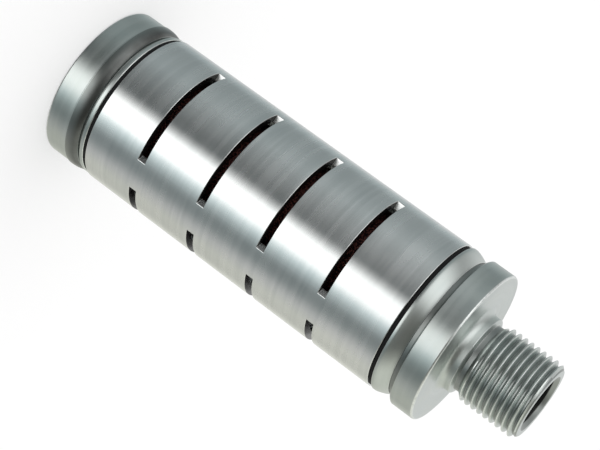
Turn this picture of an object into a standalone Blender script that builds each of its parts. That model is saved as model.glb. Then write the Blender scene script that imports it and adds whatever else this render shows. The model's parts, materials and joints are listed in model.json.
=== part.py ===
import math

import bmesh
import bpy
from mathutils import Matrix

MM = 0.001

# The axis is +Z. z = 0 is the end cap's flat back face, and the inlet thread points up.
# Driving dimensions
SLEEVE_RADIUS = 17.5 * MM
SLEEVE_BORE = 15.75 * MM
SLEEVE_BOTTOM = 11.15 * MM
SLEEVE_TOP = 87.1 * MM
GASKET_THICKNESS = 0.9 * MM
GASKET_RADIUS = 17.15 * MM

SLOT_PITCH = 15.8 * MM
SLOT_WIDTH = 1.8 * MM
SLOT_RINGS = 4
SLOTS_PER_RING = 3
FIRST_SLOT_HEIGHT = 24.35 * MM
SLOT_HALF_ANGLE = math.radians(47.5)
SAW_RADIUS = 31.5 * MM  # a 63 mm slitting saw

RIM_RADIUS = 17.65 * MM
SPIGOT_RADIUS = 15.65 * MM
SPIGOT_LENGTH = 5.9 * MM
O_RING_GROOVE_RADIUS = 14.05 * MM
O_RING_GROOVE_WIDTH = 2.4 * MM
O_RING_SECTION = 0.78 * MM

FLANGE_FACE = 98.4 * MM
FLANGE_BACK = 92.6 * MM
THREAD_RADIUS = 9.0 * MM  # M18 x 1.5
THREAD_PITCH = 1.5 * MM
THREAD_ROOT = THREAD_RADIUS - 0.6134 * THREAD_PITCH
THREAD_START = 102.5 * MM
INLET_END = 117.0 * MM
INLET_BORE = 5.7 * MM

TUBE_RADIUS = 7.5 * MM
TUBE_BORE = 6.0 * MM
TUBE_HOLE_RADIUS = 1.25 * MM
TUBE_HOLE_ROWS = 8
TUBE_HOLES_PER_ROW = 4
TUBE_SEAT = 13.0 * MM
TUBE_SOCKET_DEPTH = 5.0 * MM

RING_RADIUS = 13.5 * MM
RING_BORE = 7.7 * MM
RING_COUNT = 4
SPACER_RADIUS = 15.55 * MM
SPACER_THICKNESS = 1.6 * MM
WASHER_THICKNESS = 1.0 * MM
DISC_SPRING_HEIGHT = 1.2 * MM

SCREW_RADIUS = 4.0 * MM  # M8
SCREW_POCKET_RADIUS = 8.0 * MM
SCREW_POCKET_DEPTH = 7.0 * MM
SCREW_HEAD_RADIUS = 6.5 * MM
SCREW_HEAD_HEIGHT = 3.0 * MM
SCREW_WASHER_THICKNESS = 1.4 * MM
LOCK_WASHER_THICKNESS = 1.6 * MM
PLUG_TOP = 25.5 * MM

CONTACT_GAP = 0.02 * MM  # left between pieces that bear on each other
OUTER_SIDES = 48
INNER_SIDES = 32
THREAD_SIDES = 24
SAW_SIDES = 96
HOLE_SIDES = 8

CAP_SHOULDER = SLEEVE_BOTTOM - GASKET_THICKNESS
CAP_SPIGOT_TOP = SLEEVE_BOTTOM + SPIGOT_LENGTH
BODY_SHOULDER = SLEEVE_TOP + GASKET_THICKNESS
BODY_SPIGOT_BOTTOM = SLEEVE_TOP - SPIGOT_LENGTH

PLATED_STEEL = ((0.62, 0.65, 0.62), 0.32, 1.0)
ALUMINIUM = ((0.72, 0.75, 0.75), 0.30, 1.0)
BLACK_RUBBER = ((0.02, 0.02, 0.02), 0.75, 0.0)
GREY_FIBRE = ((0.30, 0.31, 0.28), 0.85, 0.0)
POROUS_BRONZE = ((0.42, 0.20, 0.10), 0.70, 0.8)
SPRING_STEEL = ((0.30, 0.30, 0.32), 0.35, 1.0)
BRASS = ((0.70, 0.52, 0.24), 0.35, 1.0)


def clear_scene():
    for item in list(bpy.data.objects):
        bpy.data.objects.remove(item, do_unlink=True)


def new_collection(name):
    collection = bpy.data.collections.new(name)
    bpy.context.scene.collection.children.link(collection)
    return collection


def give_material(part, look):
    colour, roughness, metallic = look
    material = bpy.data.materials.new(part.name)
    material.use_nodes = True
    shader = material.node_tree.nodes["Principled BSDF"]
    shader.inputs["Base Color"].default_value = (*colour, 1.0)
    shader.inputs["Roughness"].default_value = roughness
    shader.inputs["Metallic"].default_value = metallic
    part.data.materials.clear()
    part.data.materials.append(material)


def place(name, shape, collection):
    mesh = bpy.data.meshes.new(name)
    shape.to_mesh(mesh)
    shape.free()
    part = bpy.data.objects.new(name, mesh)
    collection.objects.link(part)
    if collection == cutters:
        part.hide_render = True
        part.display_type = "WIRE"
    return part


def profile_object(name, outline, collection, closed=True):
    # The outline runs down the outer side of the shape first, then up its inner side.
    shape = bmesh.new()
    corners = [shape.verts.new((radius, 0, height)) for radius, height in outline]
    following = corners[1:] + corners[:1] if closed else corners[1:]
    for corner, next_corner in zip(corners, following):
        shape.edges.new((corner, next_corner))
    return place(name, shape, collection)


def spin(part, sides):
    turn = part.modifiers.new("Turn", "SCREW")
    turn.axis = "Z"
    turn.angle = math.tau
    turn.steps = sides
    turn.render_steps = sides
    turn.use_merge_vertices = True
    turn.merge_threshold = 0.000001


def combine(part, other, operation):
    boolean = part.modifiers.new(operation.title(), "BOOLEAN")
    boolean.operation = operation
    boolean.solver = "EXACT"
    boolean.object = other


def settle(part, look):
    # Replaces the part's mesh with its modified one, shaded smooth between its sharp edges.
    shaped = part.evaluated_get(bpy.context.evaluated_depsgraph_get())
    mesh = bpy.data.meshes.new_from_object(shaped)
    mesh.name = part.name
    part.modifiers.clear()
    part.data = mesh
    mesh.shade_smooth()
    mesh.set_sharp_from_angle(angle=math.radians(28))
    give_material(part, look)


def turned(name, outline, look, sides=INNER_SIDES, closed=True):
    part = profile_object(name, outline, parts, closed)
    spin(part, sides)
    settle(part, look)


def plain_ring(name, bore, radius, bottom, top, look, sides=INNER_SIDES):
    turned(name, [(radius, top), (radius, bottom), (bore, bottom), (bore, top)], look, sides)


def curve_points(centre, reach, first_degrees, last_degrees, steps):
    # Points on an ellipse arc in the profile plane. reach is its half widths along r and z.
    points = []
    for step in range(steps + 1):
        angle = math.radians(first_degrees + (last_degrees - first_degrees) * step / steps)
        points.append((centre[0] + reach[0] * math.cos(angle), centre[1] + reach[1] * math.sin(angle)))
    return points


def round_points(centre, radius, first_degrees, last_degrees, steps):
    return curve_points(centre, (radius, radius), first_degrees, last_degrees, steps)


def spigot_outline(start, end, tip_chamfer):
    # The side of a spigot from its shoulder at start to its tip at end, with one O-ring groove.
    way = 1 if end > start else -1
    middle = o_ring_height(start, end)
    half = O_RING_GROOVE_WIDTH / 2
    return [
        (SPIGOT_RADIUS, start),
        (SPIGOT_RADIUS, middle - way * half),
        (O_RING_GROOVE_RADIUS, middle - way * half),
        (O_RING_GROOVE_RADIUS, middle + way * half),
        (SPIGOT_RADIUS, middle + way * half),
        (SPIGOT_RADIUS, end - way * tip_chamfer),
        (SPIGOT_RADIUS - tip_chamfer, end),
    ]


def o_ring_height(start, end):
    return start + 0.55 * (end - start)


def rotation(angle, axis="Z"):
    return Matrix.Rotation(angle, 3, axis)


def slot_cutter():
    # Each slot is the plunge of a round saw, so its floor is an arc that runs out at both ends.
    half_chord = SLEEVE_RADIUS * math.sin(SLOT_HALF_ANGLE)
    saw_reach = SLEEVE_RADIUS * math.cos(SLOT_HALF_ANGLE) + math.sqrt(SAW_RADIUS**2 - half_chord**2)
    shape = bmesh.new()
    for ring in range(SLOT_RINGS):
        height = FIRST_SLOT_HEIGHT + ring * SLOT_PITCH
        for index in range(SLOTS_PER_RING):
            saw = bmesh.ops.create_cone(shape, cap_ends=True, segments=SAW_SIDES, radius1=SAW_RADIUS,
                                        radius2=SAW_RADIUS, depth=SLOT_WIDTH)["verts"]
            bmesh.ops.translate(shape, vec=(0, -saw_reach, height), verts=saw)
            turn = rotation(math.tau * index / SLOTS_PER_RING)
            bmesh.ops.rotate(shape, cent=(0, 0, 0), matrix=turn, verts=saw)
    return place("slot_cutter", shape, cutters)


def make_sleeve():
    chamfer = 0.2 * MM
    outline = [
        (SLEEVE_RADIUS - chamfer, SLEEVE_TOP),
        (SLEEVE_RADIUS, SLEEVE_TOP - chamfer),
        (SLEEVE_RADIUS, SLEEVE_BOTTOM + chamfer),
        (SLEEVE_RADIUS - chamfer, SLEEVE_BOTTOM),
        (SLEEVE_BORE, SLEEVE_BOTTOM),
        (SLEEVE_BORE, SLEEVE_TOP),
    ]
    sleeve = profile_object("slotted_sleeve", outline, parts)
    spin(sleeve, OUTER_SIDES)
    combine(sleeve, slot_cutter(), "DIFFERENCE")
    settle(sleeve, ALUMINIUM)


def make_end_cap():
    pocket_chamfer = 0.4 * MM
    edge_round = 0.6 * MM
    lip_radius = 17.3 * MM
    lip_bottom = CAP_SHOULDER - 0.95 * MM
    groove_radius = 16.4 * MM
    roll_top = 8.65 * MM
    roll_bottom = 5.75 * MM
    roll_radius = 17.8 * MM
    roll_fall = 1.1 * MM
    clearance_hole = SCREW_RADIUS + 0.4 * MM
    tube_pocket = TUBE_RADIUS + 0.05 * MM
    outline = [
        *reversed(spigot_outline(CAP_SHOULDER, CAP_SPIGOT_TOP, 0.4 * MM)),
        (lip_radius - 0.2 * MM, CAP_SHOULDER),
        (lip_radius, CAP_SHOULDER - 0.2 * MM),
        (lip_radius, lip_bottom + 0.15 * MM),
        (lip_radius - 0.15 * MM, lip_bottom),
        (groove_radius, lip_bottom),
        (groove_radius, roll_top),
        *curve_points((roll_radius - roll_fall, roll_bottom), (roll_fall, roll_top - roll_bottom), 90, 0, 5),
        (roll_radius, roll_bottom - 0.15 * MM),
        (RIM_RADIUS, roll_bottom - 0.3 * MM),
        *round_points((RIM_RADIUS - edge_round, edge_round), edge_round, 0, -90, 3),
        (SCREW_POCKET_RADIUS + pocket_chamfer, 0),
        (SCREW_POCKET_RADIUS, pocket_chamfer),
        (SCREW_POCKET_RADIUS, SCREW_POCKET_DEPTH),
        (clearance_hole, SCREW_POCKET_DEPTH),
        (clearance_hole, TUBE_SEAT),
        (tube_pocket, TUBE_SEAT),
        (tube_pocket, CAP_SPIGOT_TOP),
    ]
    turned("end_cap", outline, PLATED_STEEL, OUTER_SIDES)


def thread_rod():
    # One thread profile a pitch long, swept along the helix so that each turn meets the next.
    root_flat = THREAD_PITCH / 4
    flank = THREAD_PITCH * 5 / 16
    first = THREAD_START - 1.2 * THREAD_PITCH
    turns = math.ceil((INLET_END - first) / THREAD_PITCH)
    outline = [
        (THREAD_ROOT, first + THREAD_PITCH),
        (THREAD_RADIUS, first + THREAD_PITCH - flank),
        (THREAD_RADIUS, first + root_flat + flank),
        (THREAD_ROOT, first + root_flat),
        (THREAD_ROOT, first),
    ]
    strand = profile_object("thread_strand", outline, cutters, closed=False)
    sweep = strand.modifiers.new("Helix", "SCREW")
    sweep.axis = "Z"
    sweep.angle = math.tau
    sweep.screw_offset = THREAD_PITCH
    sweep.iterations = turns
    sweep.steps = THREAD_SIDES
    sweep.render_steps = THREAD_SIDES
    shaped = strand.evaluated_get(bpy.context.evaluated_depsgraph_get())
    swept = bpy.data.meshes.new_from_object(shaped)
    bpy.data.objects.remove(strand, do_unlink=True)
    shape = bmesh.new()
    shape.from_mesh(swept)
    bpy.data.meshes.remove(swept)
    bmesh.ops.remove_doubles(shape, verts=shape.verts, dist=0.001 * MM)
    rims = [edge for edge in shape.edges if edge.is_boundary]
    ends = bmesh.ops.holes_fill(shape, edges=rims)["faces"]
    bmesh.ops.poke(shape, faces=ends)
    bmesh.ops.recalc_face_normals(shape, faces=shape.faces)
    rod = place("thread_rod", shape, cutters)

    # The envelope chamfers both ends of the thread and stays clear of its crests between them.
    low = THREAD_START - 0.2 * MM
    high = INLET_END
    inside = THREAD_ROOT - 0.15 * MM
    rise = THREAD_RADIUS + 0.4 * MM - inside
    outline = [
        (0, high),
        (inside, high),
        (inside + rise, high - rise),
        (inside + rise, low + rise),
        (inside, low),
        (0, low),
    ]
    envelope = profile_object("thread_envelope", outline, cutters, closed=False)
    spin(envelope, OUTER_SIDES)
    combine(rod, envelope, "INTERSECT")
    return rod


def inlet_bore_cutter():
    chamfer = 0.9 * MM
    beyond = 1 * MM
    tube_socket = TUBE_RADIUS + 0.05 * MM
    socket_top = BODY_SPIGOT_BOTTOM + TUBE_SOCKET_DEPTH
    outline = [
        (0, INLET_END + beyond),
        (INLET_BORE + chamfer + beyond, INLET_END + beyond),
        (INLET_BORE, INLET_END - chamfer),
        (INLET_BORE, socket_top),
        (tube_socket, socket_top),
        (tube_socket, BODY_SPIGOT_BOTTOM - beyond),
        (0, BODY_SPIGOT_BOTTOM - beyond),
    ]
    cutter = profile_object("inlet_bore_cutter", outline, cutters, closed=False)
    spin(cutter, OUTER_SIDES)
    return cutter


def make_inlet_body():
    lip_top = BODY_SHOULDER + 0.6 * MM
    groove_radius = 16.1 * MM
    roll_top = 91.5 * MM
    roll_start, roll_end = math.radians(12), math.radians(34)
    roll_radius = (roll_top - lip_top) / (math.sin(roll_end) - math.sin(roll_start))
    roll_centre = (
        SLEEVE_RADIUS - roll_radius * math.cos(roll_start), lip_top - roll_radius * math.sin(roll_start))
    rim_chamfer = 0.4 * MM
    face_round = 0.5 * MM
    neck_radius = 8.95 * MM
    neck_fillet = 1.5 * MM
    relief_radius = THREAD_ROOT - 0.3 * MM
    relief_bottom = 101.4 * MM
    outline = [
        (0, THREAD_START + THREAD_PITCH),
        (relief_radius, THREAD_START + THREAD_PITCH),
        (relief_radius, relief_bottom),
        (neck_radius, relief_bottom - 0.5 * MM),
        *round_points((neck_radius + neck_fillet, FLANGE_FACE + neck_fillet), neck_fillet, 180, 270, 4),
        *round_points((RIM_RADIUS - face_round, FLANGE_FACE - face_round), face_round, 90, 0, 3),
        (RIM_RADIUS, FLANGE_BACK + rim_chamfer),
        (RIM_RADIUS - rim_chamfer, FLANGE_BACK),
        (groove_radius, FLANGE_BACK),
        (groove_radius, roll_top),
        *round_points(roll_centre, roll_radius, math.degrees(roll_end), math.degrees(roll_start), 5),
        (SLEEVE_RADIUS, BODY_SHOULDER + 0.15 * MM),
        (SLEEVE_RADIUS - 0.15 * MM, BODY_SHOULDER),
        *spigot_outline(BODY_SHOULDER, BODY_SPIGOT_BOTTOM, 0.4 * MM),
        (0, BODY_SPIGOT_BOTTOM),
    ]
    body = profile_object("inlet_body", outline, parts, closed=False)
    spin(body, OUTER_SIDES)
    combine(body, thread_rod(), "UNION")
    combine(body, inlet_bore_cutter(), "DIFFERENCE")
    settle(body, PLATED_STEEL)


def make_gaskets():
    bore = SPIGOT_RADIUS + 0.05 * MM
    plain_ring("rear_gasket", bore, GASKET_RADIUS, CAP_SHOULDER + CONTACT_GAP,
               SLEEVE_BOTTOM - CONTACT_GAP, BLACK_RUBBER, sides=OUTER_SIDES)
    plain_ring("front_gasket", bore, GASKET_RADIUS, SLEEVE_TOP + CONTACT_GAP,
               BODY_SHOULDER - CONTACT_GAP, BLACK_RUBBER, sides=OUTER_SIDES)


def make_o_rings():
    heights = {
        "rear_o_ring": o_ring_height(CAP_SHOULDER, CAP_SPIGOT_TOP),
        "front_o_ring": o_ring_height(BODY_SHOULDER, BODY_SPIGOT_BOTTOM),
    }
    middle = (O_RING_GROOVE_RADIUS + SLEEVE_BORE) / 2
    for name, height in heights.items():
        section = round_points((middle, height), O_RING_SECTION, 90, -210, 5)
        turned(name, section, BLACK_RUBBER, OUTER_SIDES)


def tube_hole_cutter():
    shape = bmesh.new()
    span = BODY_SPIGOT_BOTTOM - PLUG_TOP
    drill_length = 6 * MM
    for row in range(TUBE_HOLE_ROWS):
        height = PLUG_TOP + span * (row + 0.75) / (TUBE_HOLE_ROWS + 0.5)
        for index in range(TUBE_HOLES_PER_ROW):
            drill = bmesh.ops.create_cone(shape, cap_ends=True, segments=HOLE_SIDES, radius1=TUBE_HOLE_RADIUS,
                                          radius2=TUBE_HOLE_RADIUS, depth=drill_length)["verts"]
            bmesh.ops.rotate(shape, cent=(0, 0, 0), matrix=rotation(math.pi / 2, "Y"), verts=drill)
            bmesh.ops.translate(shape, vec=(TUBE_RADIUS, 0, height), verts=drill)
            turn = rotation(math.tau * (index + 0.5 * (row % 2)) / TUBE_HOLES_PER_ROW)
            bmesh.ops.rotate(shape, cent=(0, 0, 0), matrix=turn, verts=drill)
    return place("tube_hole_cutter", shape, cutters)


def make_core():
    bottom = TUBE_SEAT + CONTACT_GAP
    top = BODY_SPIGOT_BOTTOM + TUBE_SOCKET_DEPTH - CONTACT_GAP
    wall = [(TUBE_RADIUS, top), (TUBE_RADIUS, bottom), (TUBE_BORE, bottom), (TUBE_BORE, top)]
    tube = profile_object("core_tube", wall, parts)
    spin(tube, INNER_SIDES)
    combine(tube, tube_hole_cutter(), "DIFFERENCE")
    settle(tube, PLATED_STEEL)

    plug_radius = TUBE_BORE - 0.05 * MM
    tapped_radius = SCREW_RADIUS + 0.05 * MM
    tapped_top = PLUG_TOP - 2 * MM
    outline = [
        (0, PLUG_TOP),
        (plug_radius - 0.5 * MM, PLUG_TOP),
        (plug_radius, PLUG_TOP - 0.5 * MM),
        (plug_radius, bottom),
        (tapped_radius, bottom),
        (tapped_radius, tapped_top),
        (0, tapped_top + 0.8 * MM),
    ]
    turned("core_plug", outline, BRASS, closed=False)


def make_stack():
    # Everything threaded on the core tube, from the cap's spigot up to the inlet body's.
    spring_bottom = CAP_SPIGOT_TOP + CONTACT_GAP
    spring_top = spring_bottom + DISC_SPRING_HEIGHT
    spring_plate = 0.8 * MM
    spring_radius = 13 * MM
    spring_bore = RING_BORE + 0.3 * MM
    turned(
        "disc_spring",
        [(spring_radius, spring_bottom + spring_plate), (spring_radius, spring_bottom),
         (spring_bore, spring_top - spring_plate), (spring_bore, spring_top)],
        SPRING_STEEL,
    )
    washer_radius = RING_RADIUS + 0.4 * MM
    seal_radius = RING_RADIUS - 0.2 * MM
    layers = [
        ("rear_element_washer", washer_radius, WASHER_THICKNESS, PLATED_STEEL),
        ("rear_element_seal", seal_radius, WASHER_THICKNESS, GREY_FIBRE),
    ]
    room = BODY_SPIGOT_BOTTOM - spring_top - 4 * WASHER_THICKNESS - (RING_COUNT - 1) * SPACER_THICKNESS
    gaps = 2 * RING_COUNT + 4
    ring_length = (room - gaps * CONTACT_GAP) / RING_COUNT
    for index in range(1, RING_COUNT + 1):
        layers.append((f"porous_ring_{index}", RING_RADIUS, ring_length, POROUS_BRONZE))
        if index < RING_COUNT:
            layers.append((f"spacer_ring_{index}", SPACER_RADIUS, SPACER_THICKNESS, ALUMINIUM))
    layers += [
        ("front_element_seal", seal_radius, WASHER_THICKNESS, GREY_FIBRE),
        ("front_element_washer", washer_radius, WASHER_THICKNESS, PLATED_STEEL),
    ]
    height = spring_top + CONTACT_GAP
    for name, radius, thickness, look in layers:
        plain_ring(name, RING_BORE, radius, height, height + thickness, look)
        height += thickness + CONTACT_GAP


def make_cap_screw():
    washer_top = SCREW_POCKET_DEPTH - CONTACT_GAP
    washer_bottom = washer_top - SCREW_WASHER_THICKNESS
    washer_bore = SCREW_RADIUS + 0.2 * MM
    washer_radius = 7.2 * MM
    plain_ring("screw_washer", washer_bore, washer_radius, washer_bottom, washer_top, PLATED_STEEL)

    lock_top = washer_bottom - CONTACT_GAP
    lock_bottom = lock_top - LOCK_WASHER_THICKNESS
    lock_radius = 6.4 * MM
    lock_bore = SCREW_RADIUS + 0.15 * MM
    lock = profile_object("lock_washer", [(lock_radius, lock_top), (lock_radius, lock_bottom),
                                          (lock_bore, lock_bottom), (lock_bore, lock_top)], parts)
    spin(lock, INNER_SIDES)
    split = bmesh.new()
    bmesh.ops.create_cube(split, size=1.0)
    bmesh.ops.scale(split, vec=(6 * MM, 0.9 * MM, 6 * MM), verts=split.verts)
    bmesh.ops.rotate(split, cent=(0, 0, 0), matrix=rotation(math.radians(35), "X"), verts=split.verts)
    bmesh.ops.translate(split, vec=(5.5 * MM, 0, (lock_top + lock_bottom) / 2), verts=split.verts)
    combine(lock, place("lock_split_cutter", split, cutters), "DIFFERENCE")
    settle(lock, SPRING_STEEL)

    head_top = lock_bottom - CONTACT_GAP
    head_bottom = head_top - SCREW_HEAD_HEIGHT
    tip = PLUG_TOP - 2.5 * MM
    edge = 0.4 * MM
    point = 0.8 * MM
    screw = profile_object(
        "cap_screw",
        [(0, tip), (SCREW_RADIUS - point, tip), (SCREW_RADIUS, tip - point), (SCREW_RADIUS, head_top),
         (SCREW_HEAD_RADIUS, head_top), (SCREW_HEAD_RADIUS, head_bottom + edge),
         (SCREW_HEAD_RADIUS - edge, head_bottom), (0, head_bottom)],
        parts,
        closed=False,
    )
    spin(screw, INNER_SIDES)
    slot_depth = 1.4 * MM
    slot = bmesh.new()
    bmesh.ops.create_cube(slot, size=1.0)
    bmesh.ops.scale(slot, vec=(16 * MM, 1.6 * MM, 2 * slot_depth), verts=slot.verts)
    bmesh.ops.translate(slot, vec=(0, 0, head_bottom), verts=slot.verts)
    combine(screw, place("screw_slot_cutter", slot, cutters), "DIFFERENCE")
    settle(screw, SPRING_STEEL)


clear_scene()
parts = new_collection("pneumatic_muffler")
cutters = new_collection("cutters")
make_inlet_body()
make_end_cap()
make_sleeve()
make_gaskets()
make_o_rings()
make_core()
make_stack()
make_cap_screw()
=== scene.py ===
import json
import math

import bmesh
import bpy
from mathutils import Matrix, Vector


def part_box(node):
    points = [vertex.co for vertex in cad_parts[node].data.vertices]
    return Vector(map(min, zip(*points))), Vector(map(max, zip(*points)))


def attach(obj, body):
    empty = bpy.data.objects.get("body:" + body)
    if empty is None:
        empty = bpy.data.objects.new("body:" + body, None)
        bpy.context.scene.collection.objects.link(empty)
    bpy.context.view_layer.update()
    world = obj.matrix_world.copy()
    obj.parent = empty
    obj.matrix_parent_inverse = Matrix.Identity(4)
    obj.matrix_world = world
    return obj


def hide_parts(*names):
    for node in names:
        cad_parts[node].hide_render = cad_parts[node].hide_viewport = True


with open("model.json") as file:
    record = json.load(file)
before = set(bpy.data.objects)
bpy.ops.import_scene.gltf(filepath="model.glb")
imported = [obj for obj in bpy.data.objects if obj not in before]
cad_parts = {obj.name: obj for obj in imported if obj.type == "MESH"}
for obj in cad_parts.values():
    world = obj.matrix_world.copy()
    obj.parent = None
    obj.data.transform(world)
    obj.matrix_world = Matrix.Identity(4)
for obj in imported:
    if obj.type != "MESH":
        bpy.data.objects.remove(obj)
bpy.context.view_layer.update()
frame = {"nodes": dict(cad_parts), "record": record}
mm = 0.001
roundSides = 192
ringSides = 128
contactGap = 0.02 * mm  # left between pieces that bear on each other

pieces = bpy.data.collections.new("pneumatic_muffler")
bpy.context.scene.collection.children.link(pieces)


# Where things are, read from the frame
def outerRadius(node):
    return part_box(node)[1].x


def heights(node):
    low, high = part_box(node)
    return low.z, high.z


sleeveLow, sleeveHigh = heights("slotted_sleeve")
capLow, capHigh = heights("end_cap")
bodyLow, bodyHigh = heights("inlet_body")
flangeFace = next(m["pos_m"][2] for m in frame["record"]["mounts"] if m["name"] == "inlet_seat")
sleeveRadius = outerRadius("slotted_sleeve")
shoulderRadius = outerRadius("end_cap")
rimRadius = outerRadius("inlet_body")
print("frame read: sleeve", round(sleeveRadius / mm, 2), "mm radius,", round(bodyHigh / mm, 1), "mm high")


# Turning tools
def arcPoints(centre, reach, firstDegrees, lastDegrees, steps):
    points = []
    for step in range(steps + 1):
        angle = math.radians(firstDegrees + (lastDegrees - firstDegrees) * step / steps)
        points.append((centre[0] + reach[0] * math.cos(angle), centre[1] + reach[1] * math.sin(angle)))
    return points


def softCorners(corners, steps=4):
    # Each corner is (radius, height) or (radius, height, fillet). A fillet becomes a short arc.
    points = []
    count = len(corners)
    for index, corner in enumerate(corners):
        here = Vector(corner[:2])
        fillet = corner[2] if len(corner) > 2 else 0
        if not fillet:
            points.append(tuple(here))
            continue
        toPrevious = (Vector(corners[index - 1][:2]) - here).normalized()
        toNext = (Vector(corners[(index + 1) % count][:2]) - here).normalized()
        half = toPrevious.angle(toNext) / 2
        reach = fillet / math.tan(half)
        centre = here + (toPrevious + toNext).normalized() * fillet / math.sin(half)
        first = here + toPrevious * reach - centre
        last = here + toNext * reach - centre
        sweep = first.angle_signed(last)
        for step in range(steps + 1):
            turn = Matrix.Rotation(-sweep * step / steps, 2)
            points.append(tuple(centre + turn @ first))
    return points


def markOuterEdges(shape):
    # 1 inside the small roundings of outer edges, 0 on open faces and in hollows.
    layer = shape.verts.layers.float.new("outerEdge")
    for vert in shape.verts:
        bend = max((edge.calc_face_angle_signed(0.0) for edge in vert.link_edges), default=0.0)
        vert[layer] = min(1.0, max(0.0, (math.degrees(bend) - 12.5) / 2))


def markPaintedShade(shape, paintedShadeAt):
    # The given function of (distance from the axis, height, how level the face is) says how much painted
    # shade a face gets: a near-black colour that stands in for shade.
    shape.normal_update()
    layer = shape.faces.layers.float.new("paintedShade")
    for face in shape.faces:
        middle = face.calc_center_median()
        face[layer] = float(paintedShadeAt(middle.xy.length, middle.z, abs(face.normal.z)))


def addPiece(name, shape, sharpDegrees=32):
    bmesh.ops.remove_doubles(shape, verts=shape.verts, dist=0.0005 * mm)
    bmesh.ops.recalc_face_normals(shape, faces=shape.faces)
    markOuterEdges(shape)
    mesh = bpy.data.meshes.new(name)
    shape.to_mesh(mesh)
    shape.free()
    mesh.shade_smooth()
    mesh.set_sharp_from_angle(angle=math.radians(sharpDegrees))
    piece = bpy.data.objects.new(name, mesh)
    pieces.objects.link(piece)
    return piece


def spinColumns(shape, columnOutline, sides, closed=True):
    # columnOutline(share of a turn) gives the outline there, with as many points each time.
    columns = []
    for side in range(sides + 1):
        share = side / sides
        angle = math.tau * share
        columns.append([
            shape.verts.new((radius * math.cos(angle), radius * math.sin(angle), height))
            for radius, height in columnOutline(share)
        ])
    count = len(columns[0])
    for near, far in zip(columns, columns[1:]):
        for index in range(count if closed else count - 1):
            following = (index + 1) % count
            corners = []
            for corner in (near[index], near[following], far[following], far[index]):
                if all((corner.co - other.co).length > 0.0005 * mm for other in corners):
                    corners.append(corner)
            if len(corners) > 2:
                shape.faces.new(corners)


def turnedPiece(name, outline, closed=True, sides=roundSides, paintedShadeAt=None):
    shape = bmesh.new()
    spinColumns(shape, lambda share: outline, sides, closed)
    if paintedShadeAt:
        markPaintedShade(shape, paintedShadeAt)
    return addPiece(name, shape)


def settledPiece(name, draft):
    # The draft with its modifiers applied, as a piece of its own.
    shaped = draft.evaluated_get(bpy.context.evaluated_depsgraph_get())
    shape = bmesh.new()
    shape.from_mesh(shaped.to_mesh())
    shaped.to_mesh_clear()
    for modifier in draft.modifiers:
        if modifier.type == "BOOLEAN":
            bpy.data.objects.remove(modifier.object, do_unlink=True)
    bpy.data.objects.remove(draft, do_unlink=True)
    old = shape.verts.layers.float.get("outerEdge")
    if old:
        shape.verts.layers.float.remove(old)
    return addPiece(name, shape)


def finishPiece(piece, material, slotName, *nodes):
    normals = piece.modifiers.new("cleanNormals", "WEIGHTED_NORMAL")
    normals.keep_sharp = True
    piece.data.materials.clear()
    piece.data.materials.append(material)
    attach(piece, "root")
    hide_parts(*nodes)
    return piece


# Shader helpers
def link(tree, source, target):
    tree.links.new(source, target)


def addNode(tree, kind, **settings):
    node = tree.nodes.new(kind)
    for key, value in settings.items():
        setattr(node, key, value)
    return node


def mathNode(tree, operation, first, second=None, third=None):
    node = addNode(tree, "ShaderNodeMath", operation=operation)
    for socket, value in zip(node.inputs, (first, second, third)):
        if value is None:
            continue
        if isinstance(value, (int, float)):
            socket.default_value = value
        else:
            link(tree, value, socket)
    return node.outputs[0]


def noiseNode(tree, vector, scale, detail=4.0, roughness=0.55):
    node = addNode(tree, "ShaderNodeTexNoise")
    node.inputs["Scale"].default_value = scale
    node.inputs["Detail"].default_value = detail
    node.inputs["Roughness"].default_value = roughness
    link(tree, vector, node.inputs["Vector"])
    return node.outputs["Fac"]


def spread(tree, value, low, high, outLow=0.0, outHigh=1.0):
    node = addNode(tree, "ShaderNodeMapRange", clamp=True)
    for name, amount in (("From Min", low), ("From Max", high), ("To Min", outLow), ("To Max", outHigh)):
        node.inputs[name].default_value = amount
    link(tree, value, node.inputs["Value"])
    return node.outputs["Result"]


def blendColours(tree, share, first, second):
    node = addNode(tree, "ShaderNodeMix", data_type="RGBA")
    link(tree, share, node.inputs["Factor"])
    for socket, value in ((node.inputs["A"], first), (node.inputs["B"], second)):
        if isinstance(value, tuple):
            socket.default_value = (*value, 1.0)
        else:
            link(tree, value, socket)
    return node.outputs["Result"]


def newGroup(name, inputs, outputs):
    group = bpy.data.node_groups.new(name, "ShaderNodeTree")
    for label, default in inputs:
        socket = group.interface.new_socket(label, in_out="INPUT", socket_type="NodeSocketFloat")
        socket.default_value = default
    for label in outputs:
        group.interface.new_socket(label, in_out="OUTPUT", socket_type="NodeSocketFloat")
    return group, group.nodes.new("NodeGroupInput").outputs, group.nodes.new("NodeGroupOutput").inputs


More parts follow.
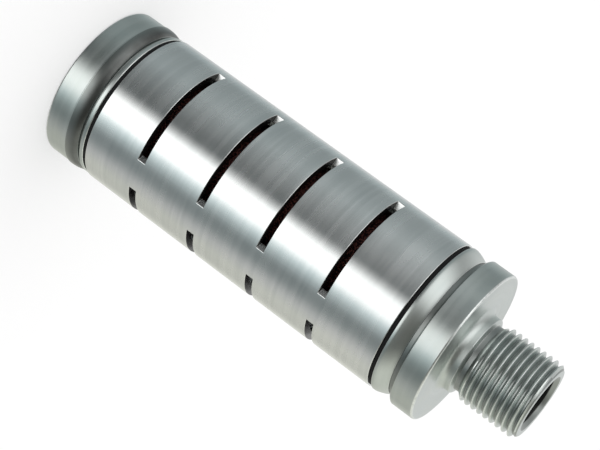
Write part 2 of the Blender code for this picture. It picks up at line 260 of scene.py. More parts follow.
def makeLatheGroup():
    # Fine rings left by a turning tool, on sides and on end faces alike.
    group, given, result = newGroup(
        "latheMarks", [("Rings per mm", 9.0), ("Unevenness", 0.5)], ["Height", "Streaks"]
    )
    place = addNode(group, "ShaderNodeTexCoord").outputs["Object"]
    parts = addNode(group, "ShaderNodeSeparateXYZ")
    link(group, place, parts.inputs[0])
    flat = addNode(group, "ShaderNodeCombineXYZ")
    link(group, parts.outputs["X"], flat.inputs["X"])
    link(group, parts.outputs["Y"], flat.inputs["Y"])
    distance = addNode(group, "ShaderNodeVectorMath", operation="LENGTH")
    link(group, flat.outputs[0], distance.inputs[0])
    around = mathNode(group, "ARCTAN2", parts.outputs["Y"], parts.outputs["X"])
    lengthways = mathNode(group, "MULTIPLY", parts.outputs["Z"], 1 / mm)
    outwards = mathNode(group, "MULTIPLY", distance.outputs["Value"], 1 / mm)
    path = mathNode(group, "ADD", lengthways, outwards)
    ringed = addNode(group, "ShaderNodeCombineXYZ")
    link(group, mathNode(group, "MULTIPLY", path, given["Rings per mm"]), ringed.inputs["X"])
    link(group, mathNode(group, "MULTIPLY", mathNode(group, "SINE", around), 0.14), ringed.inputs["Y"])
    link(group, mathNode(group, "MULTIPLY", mathNode(group, "COSINE", around), 0.14), ringed.inputs["Z"])
    fine = noiseNode(group, ringed.outputs[0], 1.0, 3.0, 0.6)
    broadPath = addNode(group, "ShaderNodeVectorMath", operation="MULTIPLY")
    link(group, ringed.outputs[0], broadPath.inputs[0])
    broadPath.inputs[1].default_value = (0.2, 4.0, 4.0)
    broad = noiseNode(group, broadPath.outputs[0], 1.0, 2.0, 0.5)
    uneven = mathNode(group, "MULTIPLY", broad, given["Unevenness"])
    link(group, mathNode(group, "ADD", fine, uneven), result["Height"])
    link(group, spread(group, broad, 0.36, 0.64), result["Streaks"])
    return group


def makeHandlingGroup():
    # Soft cloudy patches, small spots and scuffs left by handling.
    group, given, result = newGroup(
        "handling", [("Patch size mm", 9.0), ("Spot size mm", 0.5)], ["Patches", "Spots"])
    place = addNode(group, "ShaderNodeTexCoord").outputs["Object"]

    def scaled(size):
        stretch = addNode(group, "ShaderNodeVectorMath", operation="SCALE")
        link(group, place, stretch.inputs[0])
        link(group, mathNode(group, "DIVIDE", 1 / mm, size), stretch.inputs["Scale"])
        return stretch.outputs[0]

    patches = noiseNode(group, scaled(given["Patch size mm"]), 1.0, 5.0, 0.6)
    spots = noiseNode(group, scaled(given["Spot size mm"]), 1.0, 2.0, 0.5)
    link(group, spread(group, patches, 0.32, 0.68), result["Patches"])
    link(group, spread(group, spots, 0.62, 0.75), result["Spots"])
    return group


def makeEdgeWearAndSheenGroup():
    # Bare, rubbed metal along the outer edges, and with it a painted highlight there, broken up so that it
    # isn't a clean line.
    group, given, result = newGroup("edgeWearAndSheen", [("Breakup mm", 0.6)], ["Worn"])
    wornAndSheen = addNode(group, "ShaderNodeAttribute", attribute_name="outerEdge").outputs["Fac"]
    place = addNode(group, "ShaderNodeTexCoord").outputs["Object"]
    stretch = addNode(group, "ShaderNodeVectorMath", operation="SCALE")
    link(group, place, stretch.inputs[0])
    link(group, mathNode(group, "DIVIDE", 1 / mm, given["Breakup mm"]), stretch.inputs["Scale"])
    broken = spread(group, noiseNode(group, stretch.outputs[0], 1.0, 3.0), 0.35, 0.6, 0.35, 1.0)
    link(group, mathNode(group, "MULTIPLY", wornAndSheen, broken), result["Worn"])
    return group


latheGroup = makeLatheGroup()
handlingGroup = makeHandlingGroup()
edgeWearAndSheenGroup = makeEdgeWearAndSheenGroup()


def useGroup(tree, group, **values):
    node = addNode(tree, "ShaderNodeGroup", node_tree=group)
    for label, value in values.items():
        node.inputs[label.replace("_", " ")].default_value = value
    return node.outputs


def newMaterial(name, **fixed):
    material = bpy.data.materials.new(name)
    material.use_nodes = True
    tree = material.node_tree
    shader = tree.nodes["Principled BSDF"]
    for label, value in fixed.items():
        shader.inputs[label.replace("_", " ")].default_value = value
    return material, tree, shader


def addBump(tree, shader, height, strength, distance):
    bump = addNode(tree, "ShaderNodeBump")
    bump.inputs["Strength"].default_value = strength
    bump.inputs["Distance"].default_value = distance
    link(tree, height, bump.inputs["Height"])
    link(tree, bump.outputs[0], shader.inputs["Normal"])


def addTurnedGrain(tree, shader):
    # The grain runs round the axis, so reflections stretch along it.
    tangent = addNode(tree, "ShaderNodeTangent", direction_type="RADIAL", axis="Z")
    link(tree, tangent.outputs[0], shader.inputs["Tangent"])


def turnedMetal(name, look):
    material, tree, shader = newMaterial(
        name, Metallic=1.0, Anisotropic=look["grain"], Anisotropic_Rotation=0.25)
    lathe = useGroup(tree, latheGroup, Rings_per_mm=look["ringsPerMm"], Unevenness=0.6)
    handled = useGroup(tree, handlingGroup, Patch_size_mm=look["patchMm"], Spot_size_mm=0.7)
    wornAndSheen = useGroup(tree, edgeWearAndSheenGroup, Breakup_mm=0.8)
    clouded = blendColours(tree, handled["Patches"], look["colour"], look["clouded"])
    streaked = blendColours(tree, mathNode(tree, "MULTIPLY", lathe["Streaks"], 0.55), clouded, look["streak"])
    spotted = blendColours(tree, mathNode(tree, "MULTIPLY", handled["Spots"], 0.12), streaked, look["spot"])
    # Wear and painted highlight: the outer-edge mark blends in the look's brighter edge colour, for rubbed
    # metal and for the sheen of the edge roundings.
    rubbedAndSheened = blendColours(tree, wornAndSheen["Worn"], spotted, look["edge"])
    # Painted shade: marked faces blend towards near-black, standing in for shade in the sleeve's slots, the
    # grooves, the thread roots and the bore.
    paintedShade = addNode(tree, "ShaderNodeAttribute", attribute_name="paintedShade").outputs["Fac"]
    paintedShadeShare = mathNode(tree, "MULTIPLY", paintedShade, spread(tree, handled["Patches"], 0.0, 1.0, 0.80, 0.95))
    link(tree, blendColours(tree, paintedShadeShare, rubbedAndSheened, (0.02, 0.018, 0.017)), shader.inputs["Base Color"])
    low, high = look["roughness"]
    patches = mathNode(tree, "MULTIPLY", handled["Patches"], 0.6)
    mixed = mathNode(tree, "MULTIPLY_ADD", lathe["Streaks"], 0.4, patches)
    link(tree, spread(tree, mixed, 0.0, 1.0, low, high), shader.inputs["Roughness"])
    addBump(tree, shader, lathe["Height"], look["markStrength"], look["markDepth"])
    if look["grain"]:
        addTurnedGrain(tree, shader)
    return material


def rubberMaterial():
    material, tree, shader = newMaterial("blackRubber", Metallic=0.0, Specular_IOR_Level=0.2)
    handled = useGroup(tree, handlingGroup, Patch_size_mm=3.0, Spot_size_mm=0.12)
    black = blendColours(tree, handled["Patches"], (0.004, 0.004, 0.005), (0.010, 0.010, 0.010))
    link(tree, black, shader.inputs["Base Color"])
    link(tree, spread(tree, handled["Patches"], 0.0, 1.0, 0.55, 0.8), shader.inputs["Roughness"])
    addBump(tree, shader, handled["Spots"], 0.3, 0.02 * mm)
    return material


def fibreMaterial():
    material, tree, shader = newMaterial("pressedFibre", Metallic=0.0)
    handled = useGroup(tree, handlingGroup, Patch_size_mm=2.0, Spot_size_mm=0.2)
    grey = blendColours(tree, handled["Patches"], (0.27, 0.28, 0.25), (0.38, 0.38, 0.34))
    link(tree, grey, shader.inputs["Base Color"])
    link(tree, spread(tree, handled["Patches"], 0.0, 1.0, 0.8, 0.95), shader.inputs["Roughness"])
    addBump(tree, shader, handled["Spots"], 0.6, 0.05 * mm)
    return material


def porousMaterial():
    # Sintered bronze: fused balls with dark pores between them.
    material, tree, shader = newMaterial("porousBronze", Metallic=0.85)
    balls = addNode(tree, "ShaderNodeTexVoronoi", feature="SMOOTH_F1")
    balls.inputs["Scale"].default_value = 1 / (0.42 * mm)
    balls.inputs["Smoothness"].default_value = 0.25
    place = addNode(tree, "ShaderNodeTexCoord").outputs["Object"]
    link(tree, place, balls.inputs["Vector"])
    pores = spread(tree, balls.outputs["Distance"], 0.35, 0.62)
    handled = useGroup(tree, handlingGroup, Patch_size_mm=5.0, Spot_size_mm=0.6)
    bronze = blendColours(tree, handled["Patches"], (0.10, 0.032, 0.028), (0.14, 0.05, 0.038))
    link(tree, blendColours(tree, pores, bronze, (0.010, 0.003, 0.004)), shader.inputs["Base Color"])
    link(tree, spread(tree, handled["Patches"], 0.0, 1.0, 0.45, 0.7), shader.inputs["Roughness"])
    addBump(tree, shader, mathNode(tree, "SUBTRACT", 1.0, balls.outputs["Distance"]), 0.9, 0.15 * mm)
    return material


# Each look's edge colour is the brighter colour along outer edges: rubbed metal and a painted highlight.
sleeveLook = {
    "colour": (0.73, 0.76, 0.755), "clouded": (0.78, 0.80, 0.79), "streak": (0.88, 0.90, 0.89),
    "spot": (0.60, 0.62, 0.61), "edge": (0.92, 0.93, 0.92), "roughness": (0.24, 0.29),
    "ringsPerMm": 4.0, "patchMm": 14.0, "markStrength": 0.2, "markDepth": 0.006 * mm, "grain": 0.75,
}
platedLook = {
    "colour": (0.52, 0.57, 0.555), "clouded": (0.59, 0.63, 0.60), "streak": (0.66, 0.70, 0.68),
    "spot": (0.36, 0.38, 0.36), "edge": (0.85, 0.88, 0.86), "roughness": (0.28, 0.38),
    "ringsPerMm": 4.0, "patchMm": 7.0, "markStrength": 0.3, "markDepth": 0.008 * mm, "grain": 0.4,
}
steelLook = {
    "colour": (0.48, 0.49, 0.49), "clouded": (0.56, 0.56, 0.55), "streak": (0.60, 0.60, 0.60),
    "spot": (0.25, 0.23, 0.21), "edge": (0.75, 0.75, 0.74), "roughness": (0.28, 0.42),
    "ringsPerMm": 4.0, "patchMm": 6.0, "markStrength": 0.4, "markDepth": 0.008 * mm, "grain": 0.3,
}
springLook = {
    "colour": (0.13, 0.13, 0.14), "clouded": (0.19, 0.19, 0.20), "streak": (0.24, 0.24, 0.25),
    "spot": (0.08, 0.06, 0.05), "edge": (0.5, 0.5, 0.5), "roughness": (0.3, 0.5),
    "ringsPerMm": 4.0, "patchMm": 4.0, "markStrength": 0.3, "markDepth": 0.006 * mm, "grain": 0.0,
}
brassLook = {
    "colour": (0.66, 0.47, 0.2), "clouded": (0.72, 0.55, 0.27), "streak": (0.78, 0.62, 0.33),
    "spot": (0.33, 0.2, 0.08), "edge": (0.86, 0.72, 0.42), "roughness": (0.25, 0.42),
    "ringsPerMm": 4.0, "patchMm": 5.0, "markStrength": 0.4, "markDepth": 0.008 * mm, "grain": 0.3,
}
materials = {
    "plated_steel": turnedMetal("zincPlated", platedLook),
    "sleeve_aluminium": turnedMetal("satinAluminium", sleeveLook),
    "spacer_aluminium": turnedMetal("spacerAluminium", sleeveLook),
    "core_steel": turnedMetal("coreSteel", steelLook),
    "spring_steel": turnedMetal("springSteel", springLook),
    "brass": turnedMetal("plugBrass", brassLook),
    "black_rubber": rubberMaterial(),
    "grey_fibre": fibreMaterial(),
    "porous_bronze": porousMaterial(),
}
print("materials made:", len(materials))


# The slotted sleeve
sleeveSpec = {
    "bore": 15.75 * mm, "slotRings": 4, "slotsPerRing": 3, "firstSlotAbove": 13.2 * mm,
    "slotPitch": 15.8 * mm, "slotWidth": 1.8 * mm, "sawRadius": 31.5 * mm, "slotHalfDegrees": 47.5,
    "columnDegrees": 1.6, "edge": 0.12 * mm,
}


def slotOffset(angle, spec):
    # Degrees from the middle of the nearest slot. The first slot is centred on -Y.
    share = 360 / spec["slotsPerRing"]
    return (angle + 90 + share / 2) % share - share / 2


def makeSleeve(spec):
    low, high, radius, bore, saw = sleeveLow, sleeveHigh, sleeveRadius, spec["bore"], spec["sawRadius"]
    outerHalf = spec["slotHalfDegrees"]
    halfChord = radius * math.sin(math.radians(outerHalf))
    sawReach = radius * math.cos(math.radians(outerHalf)) + math.sqrt(saw**2 - halfChord**2)
    innerHalf = math.degrees(math.acos((bore**2 + sawReach**2 - saw**2) / (2 * sawReach * bore)))
    stops = []
    for slot in range(spec["slotsPerRing"]):
        middle = -90 + slot * 360 / spec["slotsPerRing"]
        stops += [middle - outerHalf, middle - innerHalf, middle + innerHalf, middle + outerHalf]
    stops.append(stops[0] + 360)
    angles = []
    for first, last in zip(stops, stops[1:]):
        steps = max(3, math.ceil((last - first) / spec["columnDegrees"]))
        angles += [first + (last - first) * step / steps for step in range(steps)]
    levels, slotBands = [low], []
    for ring in range(spec["slotRings"]):
        middle = low + spec["firstSlotAbove"] + ring * spec["slotPitch"]
        slotBands.append(len(levels))
        levels += [middle - spec["slotWidth"] / 2, middle + spec["slotWidth"] / 2]
    levels.append(high)

    shape = bmesh.new()

    def vertex(angle, distance, height):
        turn = math.radians(angle)
        return shape.verts.new((distance * math.cos(turn), distance * math.sin(turn), height))

    def addFace(*corners):
        kept = []
        for corner in corners:
            if all((corner.co - other.co).length > 0.0005 * mm for other in kept):
                kept.append(corner)
        if len(kept) > 2:
            shape.faces.new(kept)

    outer = [[vertex(angle, radius, level) for level in levels] for angle in angles]
    inner = [[vertex(angle, bore, level) for level in levels] for angle in angles]
    floors = []
    for angle in angles:
        offset = math.radians(slotOffset(angle, spec))
        across = saw**2 - (sawReach * math.sin(offset)) ** 2
        reached = sawReach * math.cos(offset) - math.sqrt(across) if across > 0 else radius
        distance = min(radius, max(bore, reached))
        floors.append([vertex(angle, distance, level) for level in levels])

    count = len(angles)
    for index in range(count):
        after = (index + 1) % count
        middle = angles[index] + ((angles[after] - angles[index]) % 360) / 2
        offset = abs(slotOffset(middle, spec))
        inSlot, through = offset < outerHalf, offset < innerHalf
        for band in range(len(levels) - 1):
            isSlot = band in slotBands
            if not (isSlot and inSlot):
                addFace(
                    outer[index][band], outer[after][band],
                    outer[after][band + 1], outer[index][band + 1])
            if not (isSlot and through):
                addFace(
                    inner[index][band], inner[index][band + 1],
                    inner[after][band + 1], inner[after][band])
            if isSlot and inSlot:
                for level in (band, band + 1):
                    addFace(
                        outer[index][level], outer[after][level],
                        floors[after][level], floors[index][level])
                if not through:
                    addFace(
                        floors[index][band], floors[after][band],
                        floors[after][band + 1], floors[index][band + 1])
        for level in (0, -1):
            addFace(outer[index][level], outer[after][level], inner[after][level], inner[index][level])
    loose = [vert for vert in shape.verts if not vert.link_faces]
    bmesh.ops.delete(shape, geom=loose, context="VERTS")
    # Painted shade: the level walls of the slots are darkened.
    markPaintedShade(shape, lambda distance, height, level: level > 0.9 and low + 1 * mm < height < high - 1 * mm)
    draft = addPiece("sleeveDraft", shape)
    bevel = draft.modifiers.new("brokenEdges", "BEVEL")
    bevel.width = spec["edge"]
    bevel.segments = 4
    bevel.limit_method = "ANGLE"
    bevel.angle_limit = math.radians(30)
    sleeve = settledPiece("slottedSleeve", draft)
    return finishPiece(sleeve, materials["sleeve_aluminium"], "sleeve_aluminium", "slotted_sleeve")


makeSleeve(sleeveSpec)
print("sleeve made")


# Both end pieces plug into the sleeve with a spigot and one O-ring groove
spigotSpec = {
    "radius": 15.65 * mm, "grooveRadius": 14.05 * mm, "grooveWidth": 2.4 * mm, "grooveShare": 0.55,
    "chamfer": 0.4 * mm,
}


def spigotCorners(start, end, spec):
    way = 1 if end > start else -1
    middle = start + spec["grooveShare"] * (end - start)
    half = spec["grooveWidth"] / 2
    return [
        (spec["radius"], start),
        (spec["radius"], middle - way * half, 0.15 * mm),
        (spec["grooveRadius"], middle - way * half, 0.25 * mm),
        (spec["grooveRadius"], middle + way * half, 0.25 * mm),
        (spec["radius"], middle + way * half, 0.15 * mm),
        (spec["radius"], end - way * spec["chamfer"], 0.1 * mm),
        (spec["radius"] - spec["chamfer"], end, 0.1 * mm),
    ]


capSpec = {
    "rimRadius": 17.65 * mm, "lipRadius": 17.3 * mm, "lipHeight": 0.95 * mm, "grooveRadius": 16.4 * mm,
    "rollTop": 8.65 * mm, "rollBottom": 5.75 * mm, "rollFall": 1.1 * mm, "edgeRound": 0.6 * mm,
    "pocketRadius": 8.0 * mm, "pocketDepth": 7.0 * mm, "pocketChamfer": 0.4 * mm,
    "screwHole": 4.4 * mm, "tubePocket": 7.55 * mm, "tubeSeat": 13.0 * mm,
}


def makeEndCap(spec):
    shoulder = heights("rear_gasket")[0] - contactGap
    lipLow = shoulder - spec["lipHeight"]
    roll = arcPoints(
        (shoulderRadius - spec["rollFall"], spec["rollBottom"]),
        (spec["rollFall"], spec["rollTop"] - spec["rollBottom"]), 90, 0, 16)
    corners = [
        *reversed(spigotCorners(shoulder, capHigh, spigotSpec)),
        (spec["lipRadius"], shoulder, 0.18 * mm),
        (spec["lipRadius"], lipLow, 0.12 * mm),
        (spec["grooveRadius"], lipLow, 0.1 * mm),
        (spec["grooveRadius"], spec["rollTop"], 0.05 * mm),
        *roll,
        (shoulderRadius, spec["rollBottom"] - 0.12 * mm, 0.05 * mm),
        (spec["rimRadius"], spec["rollBottom"] - 0.27 * mm),
        (spec["rimRadius"], 0, spec["edgeRound"]),
        (spec["pocketRadius"] + spec["pocketChamfer"], 0, 0.1 * mm),
        (spec["pocketRadius"], spec["pocketChamfer"], 0.1 * mm),
        (spec["pocketRadius"], spec["pocketDepth"], 0.3 * mm),
        (spec["screwHole"], spec["pocketDepth"], 0.15 * mm),
        (spec["screwHole"], spec["tubeSeat"], 0.1 * mm),
        (spec["tubePocket"], spec["tubeSeat"], 0.05 * mm),
        (spec["tubePocket"], capHigh, 0.2 * mm),
    ]

    # Painted shade: the groove under the lip and the roll band below it get a dark colour, more towards the
    # lip.
    def paintedShadeAt(distance, height, level):
        inBand = distance > spec["grooveRadius"] - 0.1 * mm and spec["rollBottom"] < height < lipLow
        if height > spec["rollTop"] - 0.1 * mm:
            return 0.5 * inBand
        share = (height - spec["rollBottom"]) / (spec["rollTop"] - spec["rollBottom"])
        return inBand * min(0.55 + 0.5 * share, 0.88)

    cap = turnedPiece("endCap", softCorners(corners), paintedShadeAt=paintedShadeAt)
    return finishPiece(cap, materials["plated_steel"], "plated_steel", "end_cap")


makeEndCap(capSpec)
print("end cap made")


# The inlet body, with a real helical thread
bodySpec = {
    "lipHeight": 0.6 * mm, "grooveRadius": 16.1 * mm, "rollTop": 91.5 * mm, "rollTilts": (12.0, 34.0),
    "flangeBack": 92.6 * mm, "rimChamfer": 0.4 * mm, "faceRound": 0.45 * mm,
    "neckRadius": 8.95 * mm, "neckFillet": 1.5 * mm, "reliefBottom": 101.4 * mm,
    "threadRadius": 9.0 * mm, "threadPitch": 1.5 * mm, "threadLow": 102.5 * mm, "threadDepth": 0.6134,
    "crestRound": 0.05 * mm, "reliefDepth": 0.3 * mm, "bore": 5.7 * mm, "boreChamfer": 0.9 * mm,
    "tubeSocket": 7.55 * mm, "socketDepth": 5.0 * mm, "sides": 180,
}


def threadPhases(spec):
    # One pitch of the thread as (share of the pitch, radius), from root to root, with eased corners.
    top, deep = spec["threadRadius"], spec["threadRadius"] - spec["threadDepth"] * spec["threadPitch"]
    ease = spec["crestRound"]
    return [
        (0.0, deep), (0.125, deep), (0.215, deep + 0.02 * mm), (0.26, deep + 2.2 * ease),
        (0.41, (deep + top) / 2 + 0.05 * mm), (0.545, top - 1.3 * ease), (0.575, top - 0.35 * ease),
        (0.605, top), (0.645, top), (0.675, top - 0.35 * ease), (0.705, top - 1.3 * ease),
        (0.84, (deep + top) / 2 + 0.05 * mm), (0.965, deep + 0.06 * mm),
    ]


def makeInletBody(spec):
    shoulder = heights("front_gasket")[1] + contactGap
    socketTop = bodyLow + spec["socketDepth"]
    root = spec["threadRadius"] - spec["threadDepth"] * spec["threadPitch"]
    relief = root - spec["reliefDepth"]
    # The roll starts with a clear slope above the lip and gets steeper towards the groove.
    lipTop = shoulder + spec["lipHeight"]
    first, last = (math.radians(tilt) for tilt in spec["rollTilts"])
    sweep = (spec["rollTop"] - lipTop) / (math.sin(last) - math.sin(first))
    roll = arcPoints(
        (sleeveRadius - sweep * math.cos(first), lipTop - sweep * math.sin(first)),
        (sweep, sweep), *spec["rollTilts"], 16)
    below = softCorners([
        (spec["tubeSocket"], bodyLow, 0.2 * mm),
        *reversed(spigotCorners(shoulder, bodyLow, spigotSpec)),
        (sleeveRadius, shoulder, 0.13 * mm),
        *roll,
        (spec["grooveRadius"], spec["rollTop"], 0.05 * mm),
        (spec["grooveRadius"], spec["flangeBack"], 0.1 * mm),
        (rimRadius - spec["rimChamfer"], spec["flangeBack"], 0.1 * mm),
        (rimRadius, spec["flangeBack"] + spec["rimChamfer"], 0.15 * mm),
        (rimRadius, flangeFace, spec["faceRound"]),
        (spec["neckRadius"], flangeFace, spec["neckFillet"]),
        (spec["neckRadius"], spec["reliefBottom"] - 0.4 * mm, 0.2 * mm),
        (relief, spec["reliefBottom"], 0.2 * mm),
        (relief, spec["threadLow"]),
    ], 6)
    above = softCorners([
        (root - 0.12 * mm, bodyHigh - 0.02 * mm),
        (root - 0.2 * mm, bodyHigh, 0.05 * mm),
        (spec["bore"] + spec["boreChamfer"], bodyHigh, 0.1 * mm),
        (spec["bore"], bodyHigh - spec["boreChamfer"], 0.2 * mm),
        (spec["bore"], socketTop, 0.1 * mm),
        (spec["tubeSocket"], socketTop, 0.2 * mm),
    ])
    phases = threadPhases(spec)
    pitch, low, high = spec["threadPitch"], spec["threadLow"], bodyHigh - 0.03 * mm
    turns = math.ceil((high - low) / pitch) + 1

    def columnOutline(share):
        helix = []
        for turn in range(-1, turns):
            for phase, radius in phases:
                height = low + pitch * (turn + share + phase)
                radius = min(radius, relief + height - low, root - 0.1 * mm + high - height)
                if height <= low:
                    helix.append((relief, low))
                elif height >= high:
                    helix.append((root - 0.1 * mm, high))
                else:
                    helix.append((radius, height))
        return below + helix + above

    # Painted shade: the bore is made fully dark, and the groove in front of the flange's back face and the
    # thread roots are made partly dark.
    def paintedShadeAt(distance, height, level):
        if distance < spec["bore"] + 0.05 * mm:
            return 1.0
        if spec["rollTop"] - 0.02 * mm < height < spec["flangeBack"] + 0.36 * mm:
            return 0.62 * (distance > spec["grooveRadius"] - 0.2 * mm)
        inThread = height > spec["reliefBottom"] - 0.3 * mm and distance < root + 0.18 * mm
        return 0.55 * (inThread and level < 0.9)

    shape = bmesh.new()
    spinColumns(shape, columnOutline, spec["sides"])
    markPaintedShade(shape, paintedShadeAt)
    body = addPiece("inletBody", shape)
    return finishPiece(body, materials["plated_steel"], "plated_steel", "inlet_body")


makeInletBody(bodySpec)
print("inlet body made")


# Rings that are turned, cut or moulded, all from their own boxes in the frame
ringSpecs = {
    "rear_gasket": {"piece": "rearGasket", "bore": 15.7 * mm, "edge": 0.22 * mm},
    "front_gasket": {"piece": "frontGasket", "bore": 15.7 * mm, "edge": 0.22 * mm},
    "rear_element_washer": {"piece": "rearElementWasher", "bore": 7.7 * mm, "edge": 0.15 * mm},
    "front_element_washer": {"piece": "frontElementWasher", "bore": 7.7 * mm, "edge": 0.15 * mm},
    "rear_element_seal": {"piece": "rearElementSeal", "bore": 7.7 * mm, "edge": 0.2 * mm},
    "front_element_seal": {"piece": "frontElementSeal", "bore": 7.7 * mm, "edge": 0.2 * mm},
    "spacer_ring_1": {"piece": "spacerRing1", "bore": 7.7 * mm, "edge": 0.2 * mm},
    "spacer_ring_2": {"piece": "spacerRing2", "bore": 7.7 * mm, "edge": 0.2 * mm},
    "spacer_ring_3": {"piece": "spacerRing3", "bore": 7.7 * mm, "edge": 0.2 * mm},
    "screw_washer": {"piece": "screwWasher", "bore": 4.2 * mm, "edge": 0.2 * mm},
    "porous_ring_1": {"piece": "porousRing1", "bore": 7.7 * mm, "edge": 0.4 * mm},
    "porous_ring_2": {"piece": "porousRing2", "bore": 7.7 * mm, "edge": 0.4 * mm},
    "porous_ring_3": {"piece": "porousRing3", "bore": 7.7 * mm, "edge": 0.4 * mm},
    "porous_ring_4": {"piece": "porousRing4", "bore": 7.7 * mm, "edge": 0.4 * mm},
}
slotOf = {part["node"]: part["material_slot"] for part in frame["record"]["subparts"]}


def makeRing(node, spec):
    low, high = heights(node)
    radius, bore, edge = outerRadius(node), spec["bore"], spec["edge"]
    corners = [(radius, high, edge), (radius, low, edge), (bore, low, edge), (bore, high, edge)]
    ring = turnedPiece(spec["piece"], softCorners(corners), sides=ringSides)
    return finishPiece(ring, materials[slotOf[node]], slotOf[node], node)


for node, spec in ringSpecs.items():
    makeRing(node, spec)
print("rings made:", len(ringSpecs))


oRingCornerDegrees = 30.0  # the CAD ring's section is a hexagon, with a corner this far off the outside


def makeORing(node, pieceName):
    low, high = heights(node)
    section = (high - low) / 2
    middle = outerRadius(node) - section * math.cos(math.radians(oRingCornerDegrees))
    outline = arcPoints((middle, (low + high) / 2), (section, section), 90, -255, 23)
    ring = turnedPiece(pieceName, outline, sides=ringSides)
    return finishPiece(ring, materials["black_rubber"], "black_rubber", node)


springSpec = {"plate": 0.8 * mm, "bore": 8.0 * mm, "edge": 0.12 * mm}


def makeDiscSpring(spec):
    low, high = heights("disc_spring")
    radius, edge = outerRadius("disc_spring"), spec["edge"]
    corners = [(radius, low + spec["plate"], edge), (radius, low, edge),
               (spec["bore"], high - spec["plate"], edge), (spec["bore"], high, edge)]
    spring = turnedPiece("discSpring", softCorners(corners), sides=ringSides)
    return finishPiece(spring, materials["spring_steel"], "spring_steel", "disc_spring")


plugSpec = {"chamfer": 0.5 * mm, "tapped": 4.05 * mm, "tappedBelowTop": 2.0 * mm, "tappedCone": 0.8 * mm}


def makeCorePlug(spec):
    low, high = heights("core_plug")
    radius, chamfer = outerRadius("core_plug"), spec["chamfer"]
    tappedTop = high - spec["tappedBelowTop"]
    corners = [
        (0, high), (radius - chamfer, high, 0.1 * mm), (radius, high - chamfer, 0.1 * mm),
        (radius, low, 0.15 * mm), (spec["tapped"], low, 0.15 * mm), (spec["tapped"], tappedTop, 0.05 * mm),
        (0, tappedTop + spec["tappedCone"]),
    ]
    plug = turnedPiece("corePlug", softCorners(corners), closed=False, sides=96)
    return finishPiece(plug, materials["brass"], "brass", "core_plug")


screwSpec = {
    "shank": 4.0 * mm, "headHeight": 3.0 * mm, "headEdge": 0.4 * mm, "point": 0.8 * mm,
    "slotWidth": 1.6 * mm, "slotDepth": 1.4 * mm,
}


def makeCapScrew(spec):
    low, high = heights("cap_screw")
    head, shank = outerRadius("cap_screw"), spec["shank"]
    headTop = low + spec["headHeight"]
    corners = [
        (0, high), (shank - spec["point"], high, 0.15 * mm), (shank, high - spec["point"], 0.15 * mm),
        (shank, headTop, 0.2 * mm), (head, headTop, 0.15 * mm), (head, low + spec["headEdge"], 0.15 * mm),
        (head - spec["headEdge"], low, 0.15 * mm), (0, low),
    ]
    draft = turnedPiece("screwDraft", softCorners(corners), closed=False, sides=96)
    bar = bmesh.new()
    bmesh.ops.create_cube(bar, size=1.0)
    bmesh.ops.scale(bar, vec=(16 * mm, spec["slotWidth"], 2 * spec["slotDepth"]), verts=bar.verts)
    bmesh.ops.translate(bar, vec=(0, 0, low), verts=bar.verts)
    slot = draft.modifiers.new("driverSlot", "BOOLEAN")
    slot.solver = "EXACT"
    slot.operation = "DIFFERENCE"
    slot.object = addPiece("slotBar", bar)
    screw = settledPiece("capScrew", draft)
    return finishPiece(screw, materials["spring_steel"], "spring_steel", "cap_screw")


makeORing("rear_o_ring", "rearORing")
makeORing("front_o_ring", "frontORing")
makeDiscSpring(springSpec)
makeCorePlug(plugSpec)
makeCapScrew(screwSpec)
print("small pieces made")

for node, part in frame["nodes"].items():
    part.data.materials.clear()
    part.data.materials.append(materials[slotOf[node]])


# Floor, light and camera
stageSpec = {"floorSize": 14.0, "floorDrop": 0.01 * mm, "floorColour": 0.62, "floorGlow": 0.37}


def makeFloor(spec):
    bpy.ops.mesh.primitive_plane_add(size=spec["floorSize"], location=(0, 0, -spec["floorDrop"]))
    floor = bpy.context.object
    floor.name = "floor"
    material, tree, shader = newMaterial("paleFloor", Roughness=0.9, Metallic=0.0)
    shade = spec["floorColour"]
    shader.inputs["Base Color"].default_value = (shade, shade, shade, 1)
    shader.inputs["Emission Color"].default_value = (1, 1, 1, 1)
    shader.inputs["Emission Strength"].default_value = spec["floorGlow"]
    floor.data.materials.append(material)
    floor.visible_glossy = False


# The soft room that the metal mirrors, as (compass angle, brightness, tint). 0 is towards the camera and
# + is to its right. One ring of stops is level with the part, the other is overhead. Only mirroring rays
# see them: all others see the plain light "open".
roomSpec = {
    "level": [
        (-180, 0.92, "plain"), (-165, 0.74, "plain"), (-145, 0.49, "cool"), (-125, 0.31, "cool"),
        (-90, 0.34, "cool"), (-70, 0.34, "cool"), (-48, 0.19, "cool"), (-25, 0.08, "cool"),
        (-12, 0.10, "cool"), (-3, 0.70, "plain"), (5, 1.75, "plain"), (29, 1.75, "plain"),
        (39, 1.00, "cool"), (52, 0.46, "cool"), (64, 0.24, "cool"), (76, 0.26, "cool"),
        (95, 0.50, "plain"), (115, 0.60, "warm"), (140, 0.55, "warm"), (160, 0.76, "warm"),
        (180, 0.92, "plain"),
    ],
    "overhead": [
        (-180, 0.80, "plain"), (-140, 0.82, "plain"), (-115, 0.55, "plain"), (-98, 0.42, "plain"),
        (-80, 0.85, "plain"), (-62, 1.32, "plain"), (-40, 1.35, "plain"), (-22, 1.05, "plain"),
        (-9, 0.40, "plain"), (2, 0.14, "warm"), (60, 0.13, "warm"), (76, 0.35, "warm"),
        (98, 0.85, "warm"), (140, 0.78, "warm"), (180, 0.82, "plain"),
    ],
    "tints": {"plain": (1.0, 1.0, 1.0), "cool": (0.86, 0.98, 1.0), "warm": (1.0, 1.0, 0.91)},
    "overheadFrom": -0.15, "overheadFull": 0.06,
    "darkFrom": -0.72, "darkFull": -0.94, "underneath": (0.08, 0.08, 0.08),
    "cameraTurn": 19.0, "brightest": 1.8, "open": (0.58, 0.58, 0.58),
}


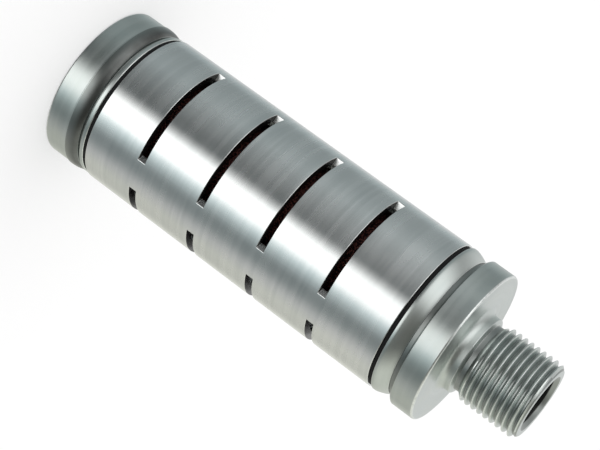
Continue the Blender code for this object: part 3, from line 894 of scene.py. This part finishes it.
def makeRing360(tree, turn, stops, spec):
    ramp = addNode(tree, "ShaderNodeValToRGB")
    elements = ramp.color_ramp.elements
    while len(elements) < len(stops):
        elements.new(0.5)
    for element, (degrees, brightness, tint) in zip(elements, stops):
        element.position = (degrees + 180) / 360
        element.color = (*(brightness / spec["brightest"] * share for share in spec["tints"][tint]), 1)
    link(tree, turn, ramp.inputs[0])
    return ramp.outputs["Color"]


def makeRoom(spec):
    world = bpy.data.worlds.new("softRoom")
    bpy.context.scene.world = world
    world.use_nodes = True
    tree = world.node_tree
    background = tree.nodes["Background"]
    place = addNode(tree, "ShaderNodeTexCoord").outputs["Generated"]
    parts = addNode(tree, "ShaderNodeSeparateXYZ")
    link(tree, place, parts.inputs[0])
    south = mathNode(tree, "MULTIPLY", parts.outputs["Y"], -1.0)
    compass = mathNode(tree, "ARCTAN2", parts.outputs["X"], south)
    turned = mathNode(tree, "SUBTRACT", compass, math.radians(spec["cameraTurn"]))
    share = spread(tree, mathNode(tree, "WRAP", turned, math.pi, -math.pi), -math.pi, math.pi)
    level = makeRing360(tree, share, spec["level"], spec)
    overhead = makeRing360(tree, share, spec["overhead"], spec)
    height = spread(tree, parts.outputs["Z"], spec["overheadFrom"], spec["overheadFull"])
    upper = blendColours(tree, height, level, overhead)
    depth = spread(tree, parts.outputs["Z"], spec["darkFull"], spec["darkFrom"])
    room = blendColours(tree, depth, spec["underneath"], upper)
    mirrored = addNode(tree, "ShaderNodeLightPath").outputs["Is Glossy Ray"]
    link(tree, blendColours(tree, mirrored, spec["open"], room), background.inputs["Color"])
    background.inputs["Strength"].default_value = spec["brightest"]


cameraSpec = {
    "target": (-0.00033, -0.00035, 0.05507), "distance": 0.3919, "azimuth": 19.0, "elevation": 16.79,
    "roll": 126.23, "lens": 113.43,
}


def makeCamera(spec):
    camera = bpy.data.objects.new("camera", bpy.data.cameras.new("camera"))
    bpy.context.scene.collection.objects.link(camera)
    azimuth, elevation = math.radians(spec["azimuth"]), math.radians(spec["elevation"])
    back = Vector((
        math.sin(azimuth) * math.cos(elevation), -math.cos(azimuth) * math.cos(elevation),
        math.sin(elevation)))
    roll = Matrix.Rotation(math.radians(spec["roll"]), 3, "Z")
    turn = (-back).to_track_quat("-Z", "Y").to_matrix() @ roll
    spot = Vector(spec["target"]) + back * spec["distance"]
    camera.matrix_world = Matrix.LocRotScale(spot, turn.to_quaternion(), None)
    camera.data.lens = spec["lens"]
    camera.data.sensor_width = 36
    camera.data.clip_start = 0.01
    bpy.context.scene.camera = camera


makeFloor(stageSpec)
makeRoom(roomSpec)
makeCamera(cameraSpec)
bpy.context.scene.view_settings.view_transform = "Standard"
print("stage, light and camera made")
